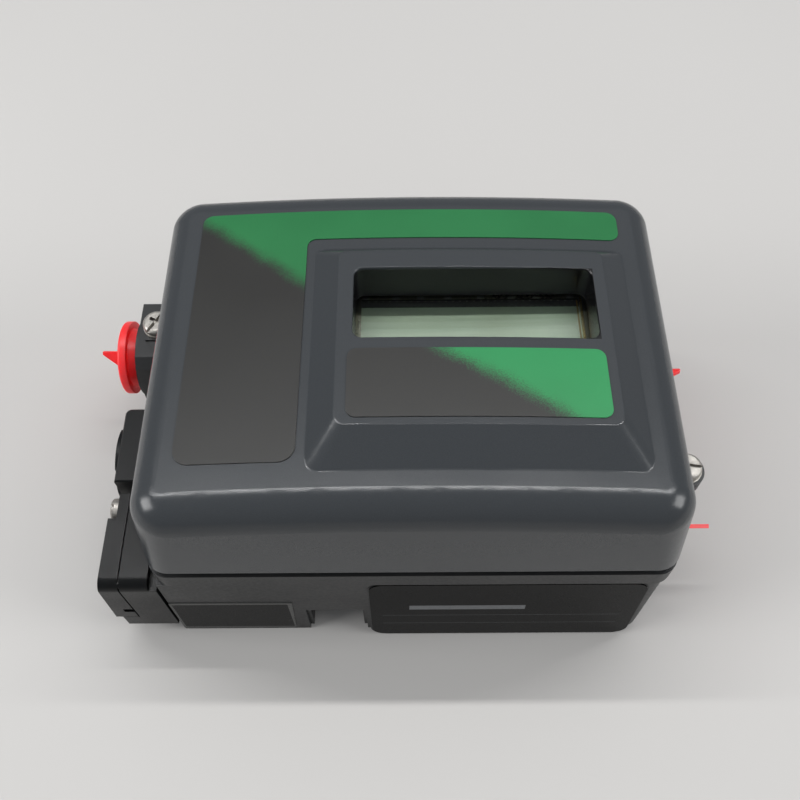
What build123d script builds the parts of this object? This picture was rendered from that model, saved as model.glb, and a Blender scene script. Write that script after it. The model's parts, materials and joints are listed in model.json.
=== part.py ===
from build123d import *
import os
import math

# Electronic valve controller in a cast housing, lying on its back mounting face.
# Frame: origin at the centre of the back face, +Z out through the cover,
# +Y towards the top of the instrument, +X to the right. Millimetres.

# ---------------------------------------------------------------- dimensions
RIM_Z = 58.0             # cover rim height above the back face
COV_W, COV_D = 165.0, 128.0   # cover at its rim
COV_R, COV_R_TOP = 8.2, 14.0   # cover vertical corner radius at the rim and far above it
DRAFT_X, DRAFT_Y = 1.4, 4.2   # draft inset per side at the cover's top
TOP_Z = 92.7             # top surface at the middle of the crown
CROWN_R = 895.0          # crown radius across the width
TOP_FILLET = 10.0
WALL = 3.2               # cover wall
MESA_H = 4.6             # raised bezel height
BODY_W, BODY_D = 162.0, 126.8  # housing casting
LIP_Z0, LIP_Z1 = 46.0, 54.0
LIP_W, LIP_D, LIP_R = 164.4, 127.6, 6.5
TONGUE_Z = 56.5
CAV_W, CAV_D = 151.0, 114.0    # inside of the casting
FLOOR_Z = 6.0
COL_X, COL_Y = 69.5, 51.5      # corner screw columns
SLOT_X0, SLOT_X1, SLOT_H = -35.0, -17.0, 19.0   # feedback slot in the back
BOLT_X, BOLT_Y, BOLT_R = 50.0, 38.0, 3.4        # tapped back holes, M8 core
NPT_HALF_R, NPT_QUARTER_R = 10.2, 5.55
WIN = (-17.6, 57.2, -4.3, 22.0)   # window opening x0 x1 y0 y1
PANE_Z0, PANE_Z1, LEDGE_Z = 80.3, 82.4, 83.0
KEY_TRAVEL = 0.8
PAD_X0, PAD_X1, PAD_OUT = -14.5, 75.5, 2.1     # sloped pad under the rating plate

OUT = "parts"
os.makedirs(OUT, exist_ok=True)
ZC = TOP_Z - CROWN_R     # axis height of the crown cylinders


def save(shape, name):
    export_step(shape, os.path.join(OUT, name + ".step"))
    return shape


def box(x0, x1, y0, y1, z0, z1):
    return Pos((x0 + x1) / 2, (y0 + y1) / 2, (z0 + z1) / 2) * Box(x1 - x0, y1 - y0, z1 - z0)


def prism(w, d, r, z0, z1, x=0, y=0):
    return Pos(x, y, z0) * extrude(RectangleRounded(w, d, r), z1 - z0)


def rprism(x0, x1, y0, y1, r, z0, z1):
    return prism(x1 - x0, y1 - y0, r, z0, z1, (x0 + x1) / 2, (y0 + y1) / 2)


def cylz(x, y, r, z0, z1):
    return Pos(x, y, (z0 + z1) / 2) * Cylinder(r, z1 - z0)


def cylx(y, z, r, x0, x1):
    return Pos((x0 + x1) / 2, y, z) * Rot(0, 90, 0) * Cylinder(r, abs(x1 - x0))


def cyly(x, z, r, y0, y1):
    return Pos(x, (y0 + y1) / 2, z) * Rot(90, 0, 0) * Cylinder(r, abs(y1 - y0))


def group(items):
    solids = []
    for it in items:
        solids.extend(it.solids())
    return Compound(children=solids)


def crown(r_off):
    return Pos(0, 0, ZC) * Rot(90, 0, 0) * Cylinder(CROWN_R + r_off, 220)


def crown_z(x, r_off=0.0):
    return ZC + math.sqrt((CROWN_R + r_off) ** 2 - x * x)


def pan_screw(r_head, h_head, r_shank, length, slot=True, cross=False):
    # head stands on z = 0, shank hangs below
    head = Cylinder(r_head, h_head, align=(Align.CENTER, Align.CENTER, Align.MIN))
    head = fillet(head.edges().sort_by(Axis.Z)[-1:], h_head * 0.45)
    s = head + Cylinder(r_shank, length, align=(Align.CENTER, Align.CENTER, Align.MAX))
    if slot:
        s -= Pos(0, 0, h_head) * Box(r_head * 2.2, r_head * 0.26, h_head * 0.9)
    if cross:
        s -= Pos(0, 0, h_head) * Box(r_head * 1.1, r_head * 0.26, h_head * 1.1)
        s -= Pos(0, 0, h_head) * Box(r_head * 0.26, r_head * 1.1, h_head * 1.1)
    return s


def socket_screw(r_head, h_head, r_shank, length):
    s = Cylinder(r_head, h_head, align=(Align.CENTER, Align.CENTER, Align.MIN))
    s = chamfer(s.edges().sort_by(Axis.Z)[-1:], 0.4)
    s += Cylinder(r_shank, length, align=(Align.CENTER, Align.CENTER, Align.MAX))
    s -= Pos(0, 0, h_head * 0.35) * extrude(RegularPolygon(r_head * 0.55, 6), h_head)
    return s


# ---------------------------------------------------------------- housing casting
body = prism(BODY_W, BODY_D, 6.0, 0, LIP_Z0)
body += box(-81, -70, -63.4, -50, 0, LIP_Z0)            # square corner beside the side block
body += prism(LIP_W, LIP_D, LIP_R, LIP_Z0, LIP_Z1)
body += prism(157.0, 120.0, 8.5, LIP_Z1, TONGUE_Z)
body -= prism(CAV_W, CAV_D, 7.0, FLOOR_Z, TONGUE_Z + 1)
for sx in (-1, 1):
    for sy in (-1, 1):
        body += cylz(sx * COL_X, sy * COL_Y, 8.5, 0, TONGUE_Z)
body += box(-39, -13, -58, 58, 0, 24)                    # tunnel over the feedback slot
for sx in (-1, 1):
    for sy in (-1, 1):
        body += cylz(sx * BOLT_X, sy * BOLT_Y, 8.0, 0, 18)
for px, py in ((-68, -12), (-68, 12), (-50, -10), (-50, 10)):
    body += cylz(px, py, 5.0, 0, 18)
for px, py, z0 in ((-30, 48, 20), (-30, -48, 20), (55, 48, 0), (55, -48, 0)):
    body += cylz(px, py, 4.0, z0, 44)                    # main board posts
# sloped pad on the front wall
slope = Pos(PAD_X0, 0, 0) * extrude(Plane.YZ * Polygon((-63.0, 46.0), (-63.4, 46.0), (-63.4 - PAD_OUT, 0.0), (-63.0, 0.0), align=None), PAD_X1 - PAD_X0)
face = Pos(30.5, -60, 23.0) * extrude(Plane.XZ * RectangleRounded(PAD_X1 - PAD_X0, 45.9, 5.5), 10)
body += slope & face
# right side bosses
body += cylx(21, 35, 13.5, 80, 85)
body += cylx(-40, 35, 9.5, 80, 84)
body += cylz(91, -26, 6.2, 43.8, 49.5) + box(80, 91, -30.5, -21.5, 43.8, 49.5)
# vent boss on the top wall
body += cyly(30, 30, 8.0, 62, 64.4)
# cuts
body -= box(SLOT_X0, SLOT_X1, -70, 70, -1, SLOT_H)
body -= box(-31.2, -20.8, -14.2, 14.2, 20.5, 25)          # sensor pocket
for sx in (-1, 1):
    for sy in (-1, 1):
        body -= cylz(sx * COL_X, sy * COL_Y, 5.2, -1, 40)
        body -= cylz(sx * COL_X, sy * COL_Y, 2.8, 39, 60)
        body -= cylz(sx * BOLT_X, sy * BOLT_Y, BOLT_R, -1, 15)
for px, py in ((-68, -12), (-68, 12), (-50, -10), (-50, 10)):
    body -= cylz(px, py, 1.7, 8, 19)
for px, py in ((-30, 48), (-30, -48), (55, 48), (55, -48)):
    body -= cylz(px, py, 1.6, 34, 45)
body -= cylx(30, 35, NPT_HALF_R, -90, -74)
for yy in (20.5, 39.5):
    body -= cylx(yy, 21.5, 1.7, -82, -74)
body -= cylx(21, 35, NPT_HALF_R, 74, 86)
body -= cylx(-40, 35, NPT_QUARTER_R, 74, 85)
body -= cylx(-15, 35, 3.0, -82, -74)                     # supply passage
body -= cylx(-47, 28, 3.0, -82, -60)
body -= cyly(30, 30, 4.2, 56, 66)
body -= cylz(91, -26, 2.6, 43, 50)
body -= box(-36.2, -15.8, -70, -61.9, -1, SLOT_H + 1)     # small relief at the slot mouth
housing_body = save(body, "housing_body")

# conduit boss on the left wall, held by two screws from inside
prof = Polygon((44.2, 50.0), (20.4, 50.0), (16.9, 46.6), (14.7, 29.0), (14.7, 22.0), (19.0, 18.0), (40.0, 18.0), (44.2, 22.0), align=None)
cond = Pos(-98.8, 0, 0) * extrude(Plane.YZ * prof, 17.8)
cond = fillet(cond.edges().filter_by(Axis.X).sort_by(Axis.Z)[-2:], 0.8)
cond += cylx(30, 35, 14.0, -99.8, -98.0)
cond -= Pos(0, 0, 49.3) * extrude(Polygon((-96.1, 27.6), (-91.0, 20.0), (-80.0, 20.0), (-80.0, 27.6), align=None), 3.0)
cond -= box(-82.4, -80, 0, 60, 45.8, 60)
cond -= cylx(30, 35, NPT_HALF_R, -101, -80)
cond -= cylz(-92, 33.4, 2.6, 44.0, 51)                   # earth screw hole, blind
for yy in (20.5, 39.5):
    cond -= cylx(yy, 21.5, 1.6, -90, -80)
save(cond, "conduit_boss")

# ---------------------------------------------------------------- gasket and cover screws
gasket = prism(156.4, 119.4, 8.2, TONGUE_Z, RIM_Z) - prism(151.6, 114.6, 7.2, TONGUE_Z - 1, RIM_Z + 1)
save(gasket, "cover_gasket")
scr = socket_screw(4.25, 5.0, 2.5, 30.0)
save(group([Pos(sx * COL_X, sy * COL_Y, 40) * Rot(180, 0, 0) * scr for sx in (-1, 1) for sy in (-1, 1)]), "cover_screws")

# ---------------------------------------------------------------- cover shell


def cover_solid(inset, r_off, fil, z_low):
    w, d, r = COV_W - 2 * inset, COV_D - 2 * inset, COV_R - inset
    z_hi = 100.0
    f = (z_hi - z_low) / (z_hi - RIM_Z)
    secs = [Plane.XY.offset(z_low) * RectangleRounded(w, d, r),
            Plane.XY.offset(z_hi) * RectangleRounded(w - 2 * DRAFT_X * f, d - 2 * DRAFT_Y * f, COV_R_TOP - inset)]
    s = loft(Sketch() + secs) & crown(r_off)
    tops = [e for e in s.edges() if e.center().Z > 84 and e.bounding_box().size.Z < 6]
    return fillet(ShapeList(tops), fil)


def mesa_solid(y0, y0t, y1t, y1, x0, x0t, x1t, x1, h, base=-0.6):
    # ring profile about the crown axis, trimmed by planes that give the end slopes
    def rad(v):
        return CROWN_R + v
    kf = (y0t - y0) / h
    kr = (y1 - y1t) / h
    pts = [(y0 + kf * base, rad(base)), (y0t, rad(h)), (y1t, rad(h)), (y1 - kr * base, rad(base))]
    prof = Plane.YZ * Polygon(*[(p[0], p[1] + ZC) for p in pts], align=None)
    ring = revolve(prof, Axis((0, 0, ZC), (0, 1, 0)), 360)
    zb = lambda x: crown_z(x)
    zt = lambda x: crown_z(x, h)
    sl = (x0t - x0) / (zt(x0t) - zb(x0))
    sr = (x1 - x1t) / (zt(x1t) - zb(x1))
    lo, hi = 84.0, 104.0
    poly = [(x0 - sl * (zb(x0) - lo), lo), (x1 + sr * (zb(x1) - lo), lo),
            (x1t - sr * (hi - zt(x1t)), hi), (x0t + sl * (hi - zt(x0t)), hi)]
    wedge = Pos(0, 100, 0) * extrude(Plane.XZ * Polygon(*poly, align=None), 200)
    return ring & wedge


outer = cover_solid(0, 0, TOP_FILLET, RIM_Z)
mesa = mesa_solid(-46.5, -34.3, 29.0, 33.5, -30.6, -22.5, 61.2, 69.0, MESA_H)
try:
    ve = [e for e in mesa.edges() if e.bounding_box().size.Z > 3 and e.bounding_box().size.Z < 9
          and 3 < e.length < 22]
    m2 = fillet(ShapeList([e for e in ve if e.center().Y < 0]), 10.0)
    m2 = fillet(ShapeList([e for e in m2.edges() if e.center().Y > 29.5 and 3 < e.bounding_box().size.Z < 9 and 3 < e.length < 22]), 4.0)
    mesa = m2 if m2.is_valid else mesa
    print("mesa corners", len(ve), m2.is_valid)
except Exception as ex:
    print("mesa corners kept sharp", ex)
try:
    topz = [f for f in mesa.faces() if f.center().Z > 96 - 1 and f.area > 3000]
    f0 = sorted(mesa.faces(), key=lambda f: f.center().Z)[-1]
    m2 = fillet(f0.edges(), 1.1)
    mesa = m2 if m2.is_valid else mesa
    print("mesa rim rounded")
except Exception as ex:
    print("mesa rim kept sharp", ex)
solid_out = outer + mesa
try:
    base_edges = [e for e in solid_out.edges()
                  if abs(math.hypot(e.center().X, e.center().Z - ZC) - CROWN_R) < 0.25
                  and -52 < e.center().Y < 38 and -36 < e.center().X < 76 and e.center().Z > 88
                  and e.bounding_box().size.Z < 4]
    s2 = fillet(ShapeList(base_edges), 1.4)
    if s2.is_valid and len(s2.solids()) == 1:
        solid_out = s2
        print("mesa foot rounded", len(base_edges))
except Exception as ex:
    print("mesa foot kept sharp", ex)

inner = cover_solid(WALL, -WALL, TOP_FILLET - WALL, RIM_Z - 1)
cover = solid_out - inner
cover -= mesa_solid(-38.0, -33.0, 27.0, 28.5, -24.0, -21.0, 60.0, 62.5, MESA_H - 3.0, base=-3.6)
x0, x1, y0, y1 = WIN
well = box(x0 - 5.0, x1 + 5.0, y0 - 5.0, y1 + 5.0, 80.0, 99) & solid_out
cover += well
cover -= rprism(x0, x1, y0, y1, 3.0, 70, 110)
cover -= rprism(x0 - 2.4, x1 + 2.4, y0 - 2.4, y1 + 2.4, 3.6, 79, LEDGE_Z)
try:
    rim = [e for e in cover.edges() if x0 - 0.4 < e.center().X < x1 + 0.4 and y0 - 0.4 < e.center().Y < y1 + 0.4 and e.center().Z > 94]
    c2 = fillet(ShapeList(rim), 0.45)
    cover = c2 if c2.is_valid else cover
    print("window edge", len(rim), c2.is_valid)
except Exception as ex:
    print("window edge kept sharp", ex)
# seat flange over the gasket and the four screw bosses
cover += prism(COV_W - 2 * WALL + 1.0, COV_D - 2 * WALL + 1.0, COV_R - WALL, RIM_Z, RIM_Z + 2.6) - prism(CAV_W, CAV_D, 7.0, RIM_Z - 1, RIM_Z + 5)
for sx in (-1, 1):
    for sy in (-1, 1):
        cover += cylz(sx * COL_X, sy * COL_Y, 6.8, RIM_Z, 88.5) & solid_out
for sx in (-1, 1):
    for sy in (-1, 1):
        cover -= cylz(sx * COL_X, sy * COL_Y, 2.58, RIM_Z - 1, 74.0)
save(cover, "cover_shell")

# ---------------------------------------------------------------- window parts and labels
pane = rprism(x0 - 2.2, x1 + 2.2, y0 - 2.2, y1 + 2.2, 3.4, PANE_Z0, PANE_Z1)
save(pane, "window_pane")
seal = rprism(x0 - 2.2, x1 + 2.2, y0 - 2.2, y1 + 2.2, 3.4, PANE_Z1, LEDGE_Z) - rprism(x0 - 0.2, x1 + 0.2, y0 - 0.2, y1 + 0.2, 3.2, 80, 90)
save(seal, "window_seal")

shell_l = crown(0.3) - crown(0)
lab = rprism(-69, 69, 38, 50, 3.5, 80, 110) + rprism(-69, -33.4, -43.5, 50, 5.0, 80, 110)
ie = [e for e in lab.edges().filter_by(Axis.Z) if abs(e.center().X + 33.4) < 0.2 and abs(e.center().Y - 38) < 0.2]
try:
    lab = fillet(ShapeList(ie), 3.0)
except Exception as ex:
    print("label inner corner sharp", ex)
save(shell_l & lab, "cover_label")
shell_b = crown(MESA_H + 0.3) - crown(MESA_H)
save(shell_b & rprism(-19, 58, -32, -8.5, 3.0, 80, 110), "bezel_label")

# ---------------------------------------------------------------- rating plates on the front wall
band = Pos(PAD_X0, 0, 0) * extrude(Plane.YZ * Polygon((-63.4, 46.0), (-63.85, 46.0), (-63.85 - PAD_OUT, 0.0), (-63.4 - PAD_OUT, 0.0), align=None), PAD_X1 - PAD_X0)
save(band & (Pos(30.5, -60, 23.2) * extrude(Plane.XZ * RectangleRounded(89, 44.6, 5), 10)), "rating_plate")
film = Polygon((-81.0, 2.0), (-41.2, 2.4), (-40.0, 28.0), (-81.0, 28.4), align=None)
save(Pos(0, -63.4, 0) * extrude(Plane.XZ * film, 0.35), "approval_plate")

# ---------------------------------------------------------------- left pneumatic blocks
pb = box(-98.6, -81, -29, -1.2, 20, 50)
pb = fillet(pb.edges().filter_by(Axis.Z).sort_by(lambda e: e.center().Y - e.center().X)[-1:], 2.0)
pb = chamfer(pb.edges().filter_by(Axis.X).sort_by(Axis.Z)[-2:], 0.5)
pb += cylx(-15, 35, 13.6, -100.2, -90)
pb -= box(-101, -80, -33, -29, 0, 60)
pb = pb - cylx(-15, 35, NPT_QUARTER_R, -102, -84.8)
pb -= cylx(-15, 35, 2.4, -86, -80)
pb -= box(-82.4, -80, -40, 10, 45.8, 60)
PB_SCREWS = ((-25.6, 23.4), (-4.6, 23.4), (-25.6, 46.0), (-4.6, 46.0))
for yy, zz in PB_SCREWS:
    pb -= cylx(yy, zz, 1.7, -101, -80)
    pb -= cylx(yy, zz, 2.9, -101, -95.5)
save(pb, "port_block")
block_screws = [Pos(-95.5, yy, zz) * Rot(0, -90, 0) * socket_screw(2.6, 2.6, 1.55, 12.8)
                for yy, zz in PB_SCREWS]
block_screws += [Pos(-75.5, yy, 21.5) * Rot(0, 90, 0) * socket_screw(2.6, 2.6, 1.55, 13.0) for yy in (20.5, 39.5)]
save(cylx(-47, 28, 6.0, -81.9, -81.0) - cylx(-47, 28, 4.2, -83, -80), "manifold_seal")

MAN_X, MAN_Y = -93.5, -64.0
man = box(MAN_X, -81, MAN_Y, -31, 8, 45)
man = fillet(man.edges().filter_by(Axis.X).sort_by(lambda e: e.center().Z - e.center().Y)[-1:], 3.8)
man += box(-99.3, MAN_X, MAN_Y, -42, 8, 15.8)
man -= box(-84.5, -80, -66, -50, 42.0, 46)
man -= box(-81.8, -80, -66, -62.2, 0, 46)
man -= cylx(-47, 28, 6.4, -82.0, -80)
man -= cylx(-47, 28, 3.0, -94, -80)
for yy, zz in ((-57, 12), (-37, 12), (-57, 38)):
    man -= cylx(yy, zz, 1.7, -94, -80)
man -= cylx(-35, 40, 2.2, -94, -84)
save(man, "manifold_plate")
outp = Pos(0, -40, 0) * extrude(Plane.XZ * Polygon((-101.6, 16.0), (MAN_X, 16.0), (MAN_X, 45.0), (-100.2, 45.0), align=None), -40 - MAN_Y)
outp = fillet(outp.edges().filter_by(Axis.X).sort_by(lambda e: e.center().Z - e.center().Y)[-1:], 3.8)
outp += box(-97.5, MAN_X, -40, -31.2, 16, 45)
outp -= box(MAN_X - 0.5, MAN_X + 1, -66, -30, 44.3, 46)
outp -= box(MAN_X - 0.5, MAN_X + 1, -66, MAN_Y + 0.8, 10, 46)
for yy, zz in ((-57, 36), (-57, 22)):
    outp -= cylx(yy, zz, 1.7, -103, -93)
    outp -= cylx(yy, zz, 3.0, -103, -97.5)
outp -= cylx(-35, 40, 2.3, -98, -93)
outp -= box(-97.3, MAN_X + 1, -66, -61.4, 21.2, 24.0)
save(outp, "blanking_plate")
foot = rprism(-101.4, -99.3, -62.5, -45, 0.9, 9.0, 14.5)
save(foot, "vent_strip")
block_screws += [Pos(-97.5, -57, 36) * Rot(0, -90, 0) * socket_screw(2.6, 2.6, 1.55, 3.9),
                 Pos(-97.5, -57, 22) * Rot(0, -90, 0) * socket_screw(2.6, 2.6, 1.55, 3.9)]
save(group(block_screws), "block_screws")
ts = Cylinder(4.0, 3.0, align=(Align.CENTER, Align.CENTER, Align.MIN))
ts = chamfer(ts.edges().sort_by(Axis.Z)[-1:], 0.5)
ts -= Pos(0, 0, 3.0) * Box(9, 1.1, 2.4)
ts += Cylinder(2.05, 11.0, align=(Align.CENTER, Align.CENTER, Align.MAX))
save(Pos(-97.5, -35, 40) * Rot(0, -90, 0) * ts, "test_screw")

# ---------------------------------------------------------------- earth screws
es = pan_screw(5.0, 2.9, 2.5, 5.5, slot=True, cross=True)
wash = Cylinder(5.2, 0.8, align=(Align.CENTER, Align.CENTER, Align.MIN)) - Cylinder(2.7, 5)
save(Pos(-92, 33.4, 50.8) * Rot(0, 0, 60) * es, "earth_screw_left")
save(Pos(91, -26, 50.3) * Rot(0, 0, -9) * pan_screw(4.8, 2.9, 2.5, 6.2, slot=True), "earth_screw_right")
save(group([Pos(-92, 33.4, 50.0) * wash, Pos(91, -26, 49.5) * wash]), "earth_washers")

# ---------------------------------------------------------------- red port plugs


def port_plug(r_in, r_out, r_fl, expo, fl_t, tab, tab_deg, depth=10.0):
    # outward along +Z, port face at z = 0; tab = (high, low, length) of the pull fin
    prof = Polyline((0, -depth), (r_in - 0.5, -depth), (r_in, -0.2), (r_in, 0.3), (r_out, expo),
                    (r_fl, expo), (r_fl, expo + fl_t), (0, expo + fl_t), close=True)
    s = revolve(Plane.XZ * make_face(prof), Axis.Z, 360)
    s = fillet(s.edges().filter_by(GeomType.CIRCLE).sort_by(lambda e: e.radius * 10 + e.center().Z)[-1:], fl_t * 0.3)
    s -= Pos(0, 0, expo + fl_t - 1.3) * Cylinder(r_in - 1.9, 4, align=(Align.CENTER, Align.CENTER, Align.MIN))
    up, low, ln = tab
    w, zf = r_in - 1.7, expo + fl_t
    fin = Polygon((-w, zf - 2.0), (w, zf - 2.0), (w, zf - 0.4), (up, zf), (up, zf + ln), (up - 1.1, zf + ln),
                  (-low, zf), (-w, zf - 0.4), align=None)
    s += Rot(0, 0, tab_deg) * extrude(Plane.XZ * fin, 0.7, both=True)
    return s


def left_plug(p, x, y, z):
    return Pos(x, y, z) * Rot(0, -90, 0) * p


def right_plug(p, x, y, z):
    return Pos(x, y, z) * Rot(0, 90, 0) * p


save(left_plug(port_plug(9.9, 11.0, 13.6, 3.8, 3.0, (2.4, 6.1, 9.1), 40.0), -99.8, 30, 35), "port_plug_left")
save(right_plug(port_plug(9.9, 11.0, 13.6, 3.2, 2.8, (2.4, 6.1, 9.6), 62.0, depth=8.0), 85.0, 21, 35), "port_plug_right_upper")
save(right_plug(port_plug(5.25, 6.0, 8.2, 3.0, 2.4, (3.0, 3.3, 11.5), 22.7, depth=8.0), 84.0, -40, 35), "port_plug_right_lower")

# ---------------------------------------------------------------- vent and sensor
vent = cyly(30, 30, 4.1, 58.5, 64.4) + cyly(30, 30, 6.4, 64.4, 66.0)
vent -= cyly(30, 30, 2.6, 57, 63.2)
for a in range(6):
    vent -= cyly(30 + 3.0 * math.cos(a * math.pi / 3), 30 + 3.0 * math.sin(a * math.pi / 3), 0.6, 60, 70)
save(vent, "vent_cap")
save(rprism(-31, -21, -14, 14, 1.5, 20.5, 30) - cylz(-26, -10, 1.6, 19, 31) - cylz(-26, 10, 1.6, 19, 31), "travel_sensor")
bay_screws = [Pos(-26, yy, 30) * pan_screw(2.6, 1.8, 1.4, 8.8) for yy in (-10, 10)]

# ---------------------------------------------------------------- pneumatic stage in the lower left bay
base = rprism(-73, -43, -42.5, -5, 2, 18, 28)
base -= cylz(-68, -12, 1.8, 17, 29)
base -= cylz(-50, -10, 1.8, 17, 29)
base -= cylz(-46.5, -14, 1.2, 22, 29)
save(base, "pneumatic_base")
bay_screws += [Pos(-68, -12, 28) * pan_screw(2.6, 1.8, 1.6, 19.5), Pos(-50, -10, 28) * pan_screw(2.6, 1.8, 1.6, 19.5)]
save(group(bay_screws), "bay_screws")
IX, IY = -58.5, -18.5
yoke = cylz(IX, IY, 8.0, 28, 41) - cylz(IX, IY, 6.6, 30, 42)
save(yoke, "ip_yoke")
save(cylz(IX, IY, 6.3, 30, 38.6) - cylz(IX, IY, 3.3, 29, 39.6), "ip_coil")
save(cylz(IX, IY, 3.0, 30, 39.6), "ip_core")
nz = cylz(-46.5, -14, 1.15, 23, 28) + cylz(-46.5, -14, 2.2, 28, 40) + cylz(-46.5, -14, 1.2, 40, 42.4)
nz -= cylz(-46.5, -14, 0.5, 22, 43)
save(nz, "ip_nozzle")
br = box(-72.5, -68.2, -21.5, -15.5, 28, 46.2)
br -= box(-73, -67, -19.9, -17.1, 41.4, 47)
br -= cyly(-70.3, 44.2, 0.8, -22, -15)
save(br, "ip_bracket")
save(cyly(-70.3, 44.2, 0.8, -21.5, -15.5), "flapper_pin")
fl = box(-70.3, -44.2, -19.6, -17.4, 43.6, 44.8) + box(-66, -44.2, -22.5, -12.2, 43.6, 44.8)
fl += cyly(-70.3, 44.2, 1.7, -19.6, -17.4)
fl -= cyly(-70.3, 44.2, 0.85, -23, -14)
save(fl, "ip_flapper")
rb = rprism(-70, -46, -41.5, -27.5, 1.5, 28, 38)
rb -= cylz(-58, -34.5, 5.0, 30, 39)
for xx in (-67.5, -48.5):
    for yy in (-39.2, -29.8):
        rb -= cylz(xx, yy, 1.0, 32, 39)
save(rb, "relay_body")
helix = Helix(pitch=1.3, height=3.4, radius=3.0)
try:
    wire = sweep(Plane(origin=helix @ 0, z_dir=helix % 0) * Circle(0.35), path=helix)
    spring = Pos(-58, -34.5, 30.4) * wire
    print("spring volume", spring.volume, spring.is_valid)
except Exception as ex:
    print("spring as a sleeve", ex)
    spring = cylz(-58, -34.5, 3.3, 30.05, 34.1) - cylz(-58, -34.5, 2.6, 29, 35)
save(spring, "relay_spring")
save(cylz(-58, -34.5, 4.2, 34.25, 35.4) + cylz(-58, -34.5, 1.4, 31.2, 37.6), "relay_poppet")
save(rprism(-70, -46, -41.5, -27.5, 1.5, 38, 38.6) - group([cylz(xx, yy, 1.0, 37, 39) for xx in (-67.5, -48.5) for yy in (-39.2, -29.8)]), "relay_diaphragm")
cap = rprism(-70, -46, -41.5, -27.5, 1.5, 38.6, 43) - cylz(-58, -34.5, 4.6, 38, 40.6)
for xx in (-67.5, -48.5):
    for yy in (-39.2, -29.8):
        cap -= cylz(xx, yy, 1.0, 38, 44)
cap += cylz(-58, -34.5, 5.0, 43, 44.2)
save(cap, "relay_cap")
save(group([Pos(xx, yy, 43) * pan_screw(1.7, 1.2, 0.95, 10.0) for xx in (-67.5, -48.5) for yy in (-39.2, -29.8)]), "relay_screws")

# ---------------------------------------------------------------- terminal strip in the upper left bay
strip = box(-72, -48, 2, 42, 18, 32)
for i in range(6):
    yc = 7 + 6 * i
    strip -= cylz(-60, yc, 2.4, 24, 33)
    strip -= box(-73, -66, yc - 1.9, yc + 1.9, 20, 25)
    strip -= box(-68, -52, yc + 2.7, yc + 3.3, 29, 33)
strip -= cylz(-68, 12, 1.7, 17, 33)
strip -= cylz(-50, 10, 1.7, 17, 33)
save(strip, "terminal_strip")
save(group([Pos(-60, 7 + 6 * i, 29.5) * Rot(0, 0, 20 + 31 * i) * pan_screw(2.1, 1.4, 1.3, 4.8) for i in range(6)]), "terminal_screws")

# ---------------------------------------------------------------- electronics
board = box(-38, 60, -54, 54, 44, 45.6)
for px, py in ((-30, 48), (-30, -48), (55, 48), (55, -48)):
    board -= cylz(px, py, 1.7, 43, 47)
save(board, "main_board")
board_screws = [Pos(px, py, 45.6) * pan_screw(2.8, 1.9, 1.5, 10.5, slot=False, cross=True)
                for px, py in ((-30, 48), (-30, -48), (55, 48), (55, -48))]
comp = [box(-20, -8, 42, 52, 45.6, 48), box(2, 9, 43, 50, 45.6, 47.6), box(14, 26, 42, 47, 45.6, 51),
        cylz(34, 46.5, 3.5, 45.6, 55), cylz(43, 46.5, 3.5, 45.6, 55), box(-37, -30.5, -20, -4, 45.6, 52),
        box(-37, -30.5, 4, 24, 45.6, 49.5), box(-12, 4, -53, -47.5, 45.6, 49), box(14, 34, -53, -47.5, 45.6, 48.2),
        box(-36, -32, -36, -26, 45.6, 47.2), box(-10, 6, -20, -4, 45.6, 48), box(20, 36, -10, 10, 45.6, 49)]
save(group(comp), "board_components")
so = []
for px, py in ((-23.5, 35), (57, 35), (-23.5, -40), (57, -40)):
    s = Pos(px, py, 45.6) * extrude(RegularPolygon(2.9, 6), 20.4)
    so.append(s - cylz(px, py, 1.3, 58, 67))
save(group(so), "carrier_standoffs")
car = rprism(-27.5, 61, -44, 39, 3, 66, 68.4)
car += box(-27.5, 61, -44, -43.1, 60, 66) + box(-27.5, 61, 38.1, 39, 60, 66)
for px, py in ((-23.5, 35), (57, 35), (-23.5, -40), (57, -40)):
    car -= cylz(px, py, 1.7, 65, 69)
car -= box(5, 35, 30, 36, 65, 69)
save(car, "display_carrier")
db = rprism(-26.5, 60, -43, 38, 2, 68.4, 70)
for px, py in ((-23.5, 35), (57, 35), (-23.5, -40), (57, -40)):
    db -= cylz(px, py, 1.7, 68, 71)
save(db, "display_board")
board_screws += [Pos(px, py, 70) * pan_screw(2.8, 1.9, 1.25, 9.0, slot=False, cross=True)
                 for px, py in ((-23.5, 35), (57, 35), (-23.5, -40), (57, -40))]
save(group(board_screws), "board_screws")
save(box(6, 34, 31, 35, 45.6, 68.4), "board_header")

fx0, fx1, fy0, fy1 = -20.0, 61.0 - 1.0, -13.0, 31.0
frame = rprism(fx0, fx1, fy0, fy1, 1.2, 70, 79.2) - box(fx0 + 1, fx1 - 1, fy0 + 1, fy1 - 1, 69, 78.2)
frame -= box(-16.1, 56.7, -7.0, 23.6, 77, 80)
save(frame, "lcd_frame")
save(box(fx0 + 1.2, fx1 - 1.2, fy0 + 1.2, fy1 - 1.2, 74.6, 78.2), "lcd_glass")
save(box(fx0 + 2, fx1 - 2, fy0 + 2, fy1 - 2, 70, 74.6), "lcd_backlight")

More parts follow.
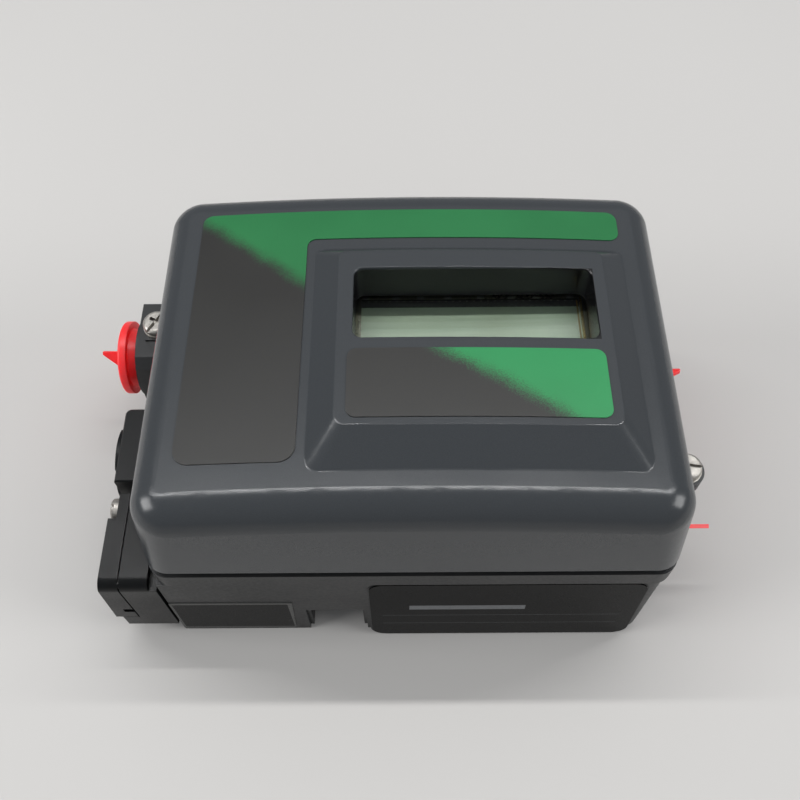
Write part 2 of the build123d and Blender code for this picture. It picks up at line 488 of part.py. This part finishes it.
# keys
KEYS = (("key_left", 2.0), ("key_down", 15.0), ("key_up", 28.0), ("key_right", 41.0))
bases = []
for name, kx in KEYS:
    b = rprism(kx - 4, kx + 4, -34, -26, 0.8, 70, 74.4) - cylz(kx, -30, 2.35, 71.4, 75)
    bases.append(b)
    k = cylz(kx, -30, 2.0, 72.4, 76) + cylz(kx, -30, 3.9, 75.6, 78.2)
    k = fillet(k.edges().sort_by(Axis.Z)[-1:], 0.7)
    save(k, name)
save(group(bases), "key_switches")
sw = rprism(-20.5, -7.5, -34.5, -27.5, 0.8, 70, 74) - box(-18.2, -9.8, -32.2, -29.8, 71.5, 75)
save(sw, "mode_switch_body")
save(box(-18.0, -14.6, -31.9, -30.1, 71.8, 76.2), "mode_switch_slider")

print("parts", len([f for f in os.listdir(OUT) if f.endswith(".step")]))
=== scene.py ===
import bpy, bmesh, json, math
from mathutils import Vector, Matrix


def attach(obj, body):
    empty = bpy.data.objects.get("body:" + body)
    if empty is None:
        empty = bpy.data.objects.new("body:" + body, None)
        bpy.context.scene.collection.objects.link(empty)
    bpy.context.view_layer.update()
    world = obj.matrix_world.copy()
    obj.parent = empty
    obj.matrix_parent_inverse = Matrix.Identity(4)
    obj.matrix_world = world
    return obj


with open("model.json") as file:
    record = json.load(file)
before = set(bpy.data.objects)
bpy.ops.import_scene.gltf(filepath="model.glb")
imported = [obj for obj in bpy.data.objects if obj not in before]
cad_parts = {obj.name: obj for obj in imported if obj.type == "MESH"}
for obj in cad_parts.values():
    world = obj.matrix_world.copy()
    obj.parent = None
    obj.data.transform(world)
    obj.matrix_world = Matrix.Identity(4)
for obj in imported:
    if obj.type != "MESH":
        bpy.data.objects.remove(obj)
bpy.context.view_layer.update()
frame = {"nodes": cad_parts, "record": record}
N = frame["nodes"]
scene = bpy.context.scene
MM = 0.001

# ------------------------------------------------------------------ camera
pitch, yaw, roll = math.radians(59.35), math.radians(-0.773), math.radians(-1.10)
cp, sp = math.cos(pitch), math.sin(pitch)
fw = Vector((math.sin(yaw) * cp, math.cos(yaw) * cp, -sp))
rt = Vector((math.cos(yaw), -math.sin(yaw), 0))
up = rt.cross(fw)
r2 = math.cos(roll) * rt + math.sin(roll) * up
u2 = -math.sin(roll) * rt + math.cos(roll) * up
cam_data = bpy.data.cameras.new("camera")
cam_data.sensor_fit = "HORIZONTAL"
cam_data.sensor_width = 36.0
cam_data.lens = 36.0 * 916.2 / 800.0
cam_data.clip_start = 0.01
cam_data.clip_end = 30
cam = bpy.data.objects.new("camera", cam_data)
m = Matrix((( r2.x, u2.x, -fw.x, -0.0015), (r2.y, u2.y, -fw.y, -0.1607), (r2.z, u2.z, -fw.z, 0.3238), (0, 0, 0, 1)))
cam.matrix_world = m
scene.collection.objects.link(cam)
scene.camera = cam
scene.view_settings.view_transform = "Standard"
scene.view_settings.look = "None"


# ------------------------------------------------------------------ material kit
class Mat:
    """Small helper round a node tree in object space (metres)."""

    def __init__(self, name):
        self.m = bpy.data.materials.new(name)
        self.m.use_nodes = True
        self.t = self.m.node_tree
        self.b = self.t.nodes["Principled BSDF"]
        self.tc = self.t.nodes.new("ShaderNodeTexCoord")

    def new(self, kind, **props):
        n = self.t.nodes.new(kind)
        for k, v in props.items():
            setattr(n, k, v)
        return n

    def link(self, a, b):
        self.t.links.new(a, b)

    def noise(self, scale, detail=3.0, rough=0.55, stretch=None):
        n = self.new("ShaderNodeTexNoise")
        n.inputs["Scale"].default_value = scale
        n.inputs["Detail"].default_value = detail
        n.inputs["Roughness"].default_value = rough
        if stretch:
            mp = self.new("ShaderNodeMapping")
            mp.inputs["Scale"].default_value = stretch
            self.link(self.tc.outputs["Object"], mp.inputs["Vector"])
            self.link(mp.outputs["Vector"], n.inputs["Vector"])
        else:
            self.link(self.tc.outputs["Object"], n.inputs["Vector"])
        return n.outputs["Fac"]

    def remap(self, src, a, b, lo=0.3, hi=0.7):
        n = self.new("ShaderNodeMapRange")
        n.inputs["From Min"].default_value = lo
        n.inputs["From Max"].default_value = hi
        n.inputs["To Min"].default_value = a
        n.inputs["To Max"].default_value = b
        self.link(src, n.inputs["Value"])
        return n.outputs["Result"]

    def math(self, op, a, b=None, clamp=False):
        n = self.new("ShaderNodeMath", operation=op, use_clamp=clamp)
        for i, v in enumerate((a, b)):
            if v is None:
                continue
            if isinstance(v, (int, float)):
                n.inputs[i].default_value = v
            else:
                self.link(v, n.inputs[i])
        return n.outputs[0]

    def mix(self, fac, c1, c2, blend="MIX"):
        n = self.new("ShaderNodeMix", data_type="RGBA", blend_type=blend)
        for sock, v in ((n.inputs[0], fac), (n.inputs[6], c1), (n.inputs[7], c2)):
            if isinstance(v, (int, float)):
                sock.default_value = v
            elif isinstance(v, (tuple, list)):
                sock.default_value = (v[0], v[1], v[2], 1.0)
            else:
                self.link(v, sock)
        return n.outputs[2]

    def xyz(self):
        n = self.new("ShaderNodeSeparateXYZ")
        self.link(self.tc.outputs["Object"], n.inputs[0])
        return n.outputs["X"], n.outputs["Y"], n.outputs["Z"]

    def bump(self, src, strength, dist, prev=None):
        n = self.new("ShaderNodeBump")
        n.inputs["Strength"].default_value = strength
        n.inputs["Distance"].default_value = dist
        self.link(src, n.inputs["Height"])
        if prev is not None:
            self.link(prev, n.inputs["Normal"])
        return n.outputs["Normal"]

    def set(self, **kw):
        names = {"color": "Base Color", "rough": "Roughness", "metal": "Metallic", "spec": "Specular IOR Level", "coat": "Coat Weight",
                 "coat_rough": "Coat Roughness", "sss": "Subsurface Weight", "sss_scale": "Subsurface Scale", "normal": "Normal",
                 "trans": "Transmission Weight", "ior": "IOR", "alpha": "Alpha", "aniso": "Anisotropic", "sheen": "Sheen Weight"}
        for k, v in kw.items():
            s = self.b.inputs[names[k]]
            if isinstance(v, (int, float)):
                s.default_value = v
            elif isinstance(v, (tuple, list)):
                s.default_value = (v[0], v[1], v[2], 1.0)
            else:
                self.link(v, s)
        return self


def srgb(r, g, b):
    def f(c):
        c /= 255.0
        return c / 12.92 if c <= 0.04045 else ((c + 0.055) / 1.055) ** 2.4
    return (f(r), f(g), f(b))


def scaled(c, k):
    return tuple(x * k for x in c[:3])


def simple(name, col, rough, metal=0.0, grain=900.0, grain_amt=0.12, bump=0.15, bump_d=0.00004, rough_amt=0.08, spec=0.5,
           brushed=None, blotch=60.0, coat=0.0, coat_rough=0.1, sss=0.0):
    """Fine grain, slow blotches, uneven gloss and a light bump."""
    M = Mat(name)
    fine = M.noise(grain, 4, 0.6, brushed)
    slow = M.noise(blotch, 2, 0.5)
    c = M.mix(M.remap(fine, 0.0, 1.0), scaled(col, 1 - grain_amt), scaled(col, 1 + grain_amt))
    c = M.mix(M.remap(slow, 0.0, 0.35), c, scaled(col, 1 - grain_amt * 1.2))
    r = M.math("ADD", M.remap(fine, -rough_amt * 0.5, rough_amt * 0.5), M.remap(slow, rough - rough_amt * 0.5, rough + rough_amt * 0.5))
    M.set(color=c, rough=r, metal=metal, spec=spec, coat=coat, coat_rough=coat_rough, normal=M.bump(fine, bump, bump_d))
    if sss:
        M.set(sss=sss, sss_scale=0.003)
    return M


MATS = {}
# painted cover: slate enamel with orange peel; painted shade: the window-well walls are coloured near-black
M = Mat("cover_paint")
x, y, z = M.xyz()
peel = M.noise(620, 3, 0.5)
fine = M.noise(3200, 2, 0.5)
slow = M.noise(26, 2, 0.5)
base = srgb(50, 53, 56)
c = M.mix(M.remap(fine, 0, 1), scaled(base, 0.92), scaled(base, 1.08))
c = M.mix(M.remap(slow, 0, 0.2), c, scaled(base, 0.92))


def inside(M, v, lo, hi):
    a = M.math("GREATER_THAN", v, lo)
    b = M.math("LESS_THAN", v, hi)
    return M.math("MULTIPLY", a, b)


# painted shade: inside the window well, below the plateau top, the colour is set near-black
well = M.math("MULTIPLY", inside(M, x, -0.0179, 0.0575), inside(M, y, -0.0046, 0.0223))
well = M.math("MULTIPLY", well, M.math("LESS_THAN", z, 0.0962))
under = M.math("LESS_THAN", z, 0.0575)
c = M.mix(well, c, (0.004, 0.004, 0.0045))
M.set(color=c, rough=M.math("ADD", M.remap(peel, -0.02, 0.02), M.remap(slow, 0.19, 0.24)), spec=0.42,
      normal=M.bump(fine, 0.03, 0.00001, M.bump(peel, 0.05, 0.00003)))
MATS["cover_paint"] = M

# casting paint: darker and rougher than the cover
M = Mat("casting_paint")
peel = M.noise(800, 4, 0.6)
fine = M.noise(4200, 2, 0.5)
slow = M.noise(30, 2, 0.5)
base = srgb(28, 29, 30)
c = M.mix(M.remap(fine, 0, 1), scaled(base, 0.85), scaled(base, 1.15))
c = M.mix(M.remap(slow, 0, 0.35), c, scaled(base, 0.82))
M.set(color=c, rough=M.math("ADD", M.remap(peel, -0.05, 0.05), M.remap(slow, 0.40, 0.50)), spec=0.5,
      normal=M.bump(fine, 0.08, 0.00003, M.bump(peel, 0.16, 0.00008)))
MATS["casting_paint"] = M


def fade_film(name, p0, nrm, width, dark, green, speck, rough):
    """Printed film: charcoal that turns to green across a soft, grainy diagonal."""
    M = Mat(name)
    x, y, z = M.xyz()
    d = M.math("ADD", M.math("MULTIPLY", M.math("SUBTRACT", x, p0[0] * MM), nrm[0]),
               M.math("MULTIPLY", M.math("SUBTRACT", y, p0[1] * MM), nrm[1]))
    dots = M.noise(2600, 2, 0.6)
    wob = M.noise(120, 2, 0.5)
    d = M.math("ADD", d, M.remap(dots, -speck * MM, speck * MM))
    d = M.math("ADD", d, M.remap(wob, -0.0007, 0.0007))
    mr = M.new("ShaderNodeMapRange", interpolation_type="SMOOTHSTEP")
    mr.inputs["From Min"].default_value = -0.2 * width * MM
    mr.inputs["From Max"].default_value = 0.8 * width * MM
    M.link(d, mr.inputs["Value"])
    slow = M.noise(40, 2, 0.5)
    grain = M.noise(1900, 3, 0.65)
    dk = M.mix(M.remap(grain, 0, 1), scaled(dark, 0.84), scaled(dark, 1.2))
    gr = M.mix(M.remap(slow, 0, 1), scaled(green, 0.93), scaled(green, 1.07))
    gr = M.mix(M.remap(grain, 0, 0.35), gr, scaled(green, 0.9))
    c = M.mix(mr.outputs["Result"], dk, gr)
    M.set(color=c, rough=M.math("ADD", M.remap(grain, -0.04, 0.04), M.remap(slow, rough, rough + 0.06)), spec=0.45,
          normal=M.bump(grain, 0.12, 0.00003))
    return M


MATS["label_film"] = fade_film("label_film", (-68.4, 44.6), (0.608, 0.793), 7.0, srgb(20, 19, 16), srgb(10, 102, 50), 1.3, 0.36)
MATS["bezel_film"] = fade_film("bezel_film", (5.7, -8.3), (0.539, 0.841), 7.0, srgb(24, 23, 20), srgb(16, 128, 68), 1.5, 0.36)

# marking films: dark satin, one blank pale bar and plain rules, no lettering
M = Mat("plate_film")
x, y, z = M.xyz()
g = M.noise(1500, 4, 0.6)
c = M.mix(M.remap(g, 0, 1), scaled(srgb(5, 5, 5), 0.8), scaled(srgb(5, 5, 5), 1.2))
bar = M.math("MULTIPLY", inside(M, x, -0.0010, 0.0375), inside(M, z, 0.0245, 0.0280))
c = M.mix(M.math("MULTIPLY", bar, 0.85), c, srgb(120, 122, 124))
rule = M.math("MULTIPLY", inside(M, x, -0.0100, 0.0700), M.math("ADD", inside(M, z, 0.0190, 0.0193), inside(M, z, 0.0115, 0.0118)))
c = M.mix(M.math("MULTIPLY", rule, 0.6), c, srgb(95, 97, 99))
core = M.math("MULTIPLY", inside(M, x, -0.0802, -0.0416), inside(M, z, 0.0034, 0.0272))
rimline = M.math("MULTIPLY", M.math("SUBTRACT", 1.0, core), M.math("LESS_THAN", x, -0.0300))
c = M.mix(M.math("MULTIPLY", rimline, 0.6), c, srgb(110, 110, 108))
M.set(color=c, rough=M.remap(g, 0.26, 0.34), spec=0.07, normal=M.bump(g, 0.10, 0.00003))
MATS["plate_film"] = M
MATS["black_rubber"] = simple("black_rubber", (0.008, 0.008, 0.008), 0.7, grain=1200, bump=0.3)
MATS["zinc_steel"] = simple("zinc_steel", (0.42, 0.40, 0.37), 0.46, metal=1.0, grain=1400, grain_amt=0.25, bump=0.25, bump_d=0.00003, rough_amt=0.2, blotch=500)
MATS["stainless"] = simple("stainless", (0.42, 0.42, 0.42), 0.3, metal=1.0, grain=1600, grain_amt=0.15, bump=0.2, bump_d=0.00002, rough_amt=0.15, blotch=400)
MATS["anodised"] = simple("anodised", srgb(8, 9, 10), 0.36, spec=0.22, grain=1300, grain_amt=0.2, bump=0.2, bump_d=0.00004, rough_amt=0.1, blotch=50)
MATS["bare_aluminium"] = simple("bare_aluminium", (0.55, 0.55, 0.56), 0.38, metal=1.0, grain=900, grain_amt=0.12, brushed=(1, 14, 1), bump=0.2, rough_amt=0.12)
MATS["black_plastic"] = simple("black_plastic", (0.014, 0.014, 0.015), 0.45, grain=1500, bump=0.25)
MATS["grey_plastic"] = simple("grey_plastic", (0.28, 0.29, 0.29), 0.42, grain=1500, bump=0.15, grain_amt=0.06)
MATS["white_plastic"] = simple("white_plastic", (0.68, 0.68, 0.64), 0.4, grain=1500, bump=0.12, grain_amt=0.05)
MATS["tinned_bezel"] = simple("tinned_bezel", (0.30, 0.27, 0.20), 0.34, metal=1.0, grain=1100, grain_amt=0.2, bump=0.2, rough_amt=0.15)
MATS["copper_winding"] = simple("copper_winding", (0.5, 0.2, 0.08), 0.3, metal=1.0, grain=1700, grain_amt=0.3, brushed=(0.2, 0.2, 3), bump=0.8, bump_d=0.0002)
MATS["brass"] = simple("brass", (0.62, 0.45, 0.18), 0.28, metal=1.0, grain=1500, grain_amt=0.15, bump=0.2)
MATS["clear_diaphragm"] = simple("clear_diaphragm", (0.11, 0.05, 0.02), 0.6, grain=1600, bump=0.3)

# red polyethylene: soft, slightly see-through, moulding marks
M = Mat("red_polyethylene")
g = M.noise(900, 3, 0.5)
s = M.noise(90, 2, 0.5)
red = (0.95, 0.02, 0.026)
c = M.mix(M.remap(s, 0, 1), scaled(red, 0.85), scaled(red, 1.12))
c = M.mix(M.remap(g, 0, 0.3), c, (0.70, 0.04, 0.035))
M.set(color=c, rough=M.math("ADD", M.remap(g, -0.04, 0.04), M.remap(s, 0.34, 0.46)), spec=0.5, sss=0.7, sss_scale=0.006,
      normal=M.bump(g, 0.15, 0.00005))
M.b.inputs["Subsurface Radius"].default_value = (1.0, 0.12, 0.08)
MATS["red_polyethylene"] = M

# boards: solder mask with faint copper runs
M = Mat("green_board")
w = M.new("ShaderNodeTexWave", wave_type="BANDS", bands_direction="X")
w.inputs["Scale"].default_value = 180
w.inputs["Distortion"].default_value = 5.0
w.inputs["Detail"].default_value = 1.0
w.inputs["Detail Scale"].default_value = 1.2
M.link(M.tc.outputs["Object"], w.inputs["Vector"])
g = M.noise(700, 3, 0.6)
runs = M.math("GREATER_THAN", w.outputs["Fac"], 0.82)
c = M.mix(M.remap(g, 0, 1), (0.008, 0.10, 0.035), (0.012, 0.13, 0.048))
c = M.mix(M.math("MULTIPLY", runs, 0.6), c, (0.03, 0.24, 0.09))
M.set(color=c, rough=M.remap(g, 0.24, 0.36), normal=M.bump(M.math("ADD", runs, M.math("MULTIPLY", g, 0.2)), 0.25, 0.00006))
MATS["green_board"] = M

# display cell: grey-green field with a dark top border and faint bands; painted light and shade make the field lighter
# at the front and darker towards the rear
M = Mat("lcd_cell")
x, y, z = M.xyz()
g = M.noise(500, 3, 0.5)
band = M.noise(190, 2, 0.5, (0.08, 1.6, 1.0))
# painted reflection: broad yellowish patches across the display field
painted_reflection_tint = M.noise(22, 2, 0.5, (1.0, 0.3, 1.0))
fld = M.mix(M.remap(band, 0, 1), srgb(206, 220, 200), srgb(232, 240, 222))
fld = M.mix(M.remap(painted_reflection_tint, 0.0, 0.55), fld, srgb(150, 150, 118))
# painted light and shade: the field is scaled brighter at the front (1.12) and darker towards the rear wall of the well
# (0.78)
mr = M.new("ShaderNodeMapRange", interpolation_type="SMOOTHSTEP")
mr.inputs["From Min"].default_value = -0.008
mr.inputs["From Max"].default_value = 0.020
mr.inputs["To Min"].default_value = 1.12
mr.inputs["To Max"].default_value = 0.78
M.link(y, mr.inputs["Value"])
field_with_painted_shading = M.new("ShaderNodeVectorMath", operation="SCALE")
M.link(fld, field_with_painted_shading.inputs[0])
M.link(mr.outputs["Result"], field_with_painted_shading.inputs["Scale"])
top = M.math("GREATER_THAN", y, 0.0203)
c = M.mix(top, field_with_painted_shading.outputs[0], srgb(80, 76, 79))
dotx = M.math("LESS_THAN", M.math("FRACT", M.math("MULTIPLY", x, 430.0)), 0.28)
dots = M.math("MULTIPLY", dotx, M.math("ADD", inside(M, y, 0.0203, 0.0206), inside(M, y, 0.0227, 0.0230)))
c = M.mix(M.math("MULTIPLY", dots, 0.6), c, srgb(150, 148, 142))
line = inside(M, x, 0.0550, 0.0556)
c = M.mix(M.math("MULTIPLY", line, 0.8), c, srgb(150, 118, 60))
edge = M.math("GREATER_THAN", y, 0.0232)
c = M.mix(edge, c, (0.01, 0.01, 0.01))
M.set(color=c, rough=M.remap(g, 0.16, 0.26), spec=0.5, normal=M.bump(g, 0.04, 0.00002))
MATS["lcd_grey_green"] = M

# window pane: clear sheet, light passes straight through, gloss by fresnel
M = Mat("clear_window")
t = M.t
out = [n for n in t.nodes if n.type == "OUTPUT_MATERIAL"][0]
g = M.noise(300, 2, 0.5)
tr = M.new("ShaderNodeBsdfTransparent")
tr.inputs["Color"].default_value = (0.90, 0.93, 0.91, 1)
fr = M.new("ShaderNodeFresnel")
fr.inputs["IOR"].default_value = 1.5
mx = M.new("ShaderNodeMixShader")
M.set(color=(0.02, 0.02, 0.02), rough=M.remap(g, 0.03, 0.07), spec=1.0, metal=0.0)
M.b.inputs["Base Color"].default_value = (0.9, 0.93, 0.92, 1)
M.b.inputs["Metallic"].default_value = 1.0
M.link(fr.outputs[0], mx.inputs[0])
M.link(tr.outputs[0], mx.inputs[1])
M.link(M.b.outputs[0], mx.inputs[2])
M.link(mx.outputs[0], out.inputs["Surface"])
MATS["clear_window"] = M

slot_of = {s["node"]: s["material_slot"] for s in frame["record"]["subparts"]}
for name, o in N.items():
    mat = MATS[slot_of[name]].m
    if not o.data.materials:
        o.data.materials.append(mat)
    for i in range(len(o.data.materials)):
        o.data.materials[i] = mat
    for p in o.data.polygons:
        p.material_index = 0


# ------------------------------------------------------------------ extra pieces
def piece(name, bm, mat, body, smooth=False):
    me = bpy.data.meshes.new(name)
    bm.normal_update()
    bm.to_mesh(me)
    bm.free()
    o = bpy.data.objects.new(name, me)
    scene.collection.objects.link(o)
    me.materials.append(MATS[mat].m)
    for p in me.polygons:
        p.use_smooth = smooth
    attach(o, body)
    return o


def add_box(bm, x0, x1, y0, y1, z0, z1, bev=0.0, segs=2):
    r = bmesh.ops.create_cube(bm, size=1.0)
    vs = r["verts"]
    for v in vs:
        v.co = Vector(((x0 + x1) / 2 + v.co.x * (x1 - x0), (y0 + y1) / 2 + v.co.y * (y1 - y0), (z0 + z1) / 2 + v.co.z * (z1 - z0))) * MM
    if bev:
        es = list({e for v in vs for e in v.link_edges})
        bmesh.ops.bevel(bm, geom=es, offset=bev * MM, segments=segs, affect="EDGES", profile=0.6)


# small folded tabs along the display frame, and the bright strip at its right
bm = bmesh.new()
for tx in (-14.7, -4.6, 3.5, 12.6, 23.4, 33.7, 41.8, 53.0):
    add_box(bm, tx - 1.2, tx + 1.2, 23.0, 23.9, 79.0, 79.65, 0.18)
piece("lcd_tabs", bm, "zinc_steel", "housing", True)
bm = bmesh.new()
add_box(bm, 55.9, 56.7, -7.5, 23.6, 78.25, 79.5, 0.2)
piece("lcd_side_strip", bm, "brass", "housing", True)

# ------------------------------------------------------------------ stage and light
bm = bmesh.new()
S = 2.4
n = 24
grid = bmesh.ops.create_grid(bm, x_segments=n, y_segments=n, size=S)
me = bpy.data.meshes.new("floor")
bm.to_mesh(me)
bm.free()
floor = bpy.data.objects.new("floor", me)
floor.location = (0, 0, -0.0002)
scene.collection.objects.link(floor)
M = Mat("floor_sheet")
a = M.noise(2.0, 2, 0.5)
b = M.noise(900, 2, 0.5)
c = M.mix(M.remap(a, 0, 1), (0.490, 0.478, 0.464), (0.518, 0.507, 0.492))
M.set(color=c, rough=0.6, spec=0.25, normal=M.bump(b, 0.03, 0.00003))
me.materials.append(M.m)

world = bpy.data.worlds.new("world")
scene.world = world
world.use_nodes = True
bg = world.node_tree.nodes["Background"]
bg.inputs[0].default_value = (0.93, 0.96, 1.0, 1)
bg.inputs[1].default_value = 0.375


def area(name, loc, target, sx, sy, power, color=(1, 1, 1), spread=180):
    d = bpy.data.lights.new(name, "AREA")
    d.shape = "RECTANGLE"
    d.size = sx
    d.size_y = sy
    d.energy = power
    d.color = color
    d.spread = math.radians(spread)
    o = bpy.data.objects.new(name, d)
    o.location = loc
    o.rotation_euler = (Vector(target) - Vector(loc)).to_track_quat("-Z", "Y").to_euler()
    scene.collection.objects.link(o)
    return o


area("strip", (0.0, 0.33, 1.25), (0, 0, 0.05), 2.0, 0.032, 12.0)
area("ceiling", (0.0, 0.95, 1.45), (0, 0.05, 0), 2.4, 1.0, 2.3, (0.96, 0.98, 1.0))
area("side_left", (-1.3, -0.25, 0.85), (0, -0.15, 0), 0.7, 0.7, 12.0)
area("side_right", (1.3, -0.3, 0.85), (0, -0.15, 0), 0.7, 0.7, 9.2)
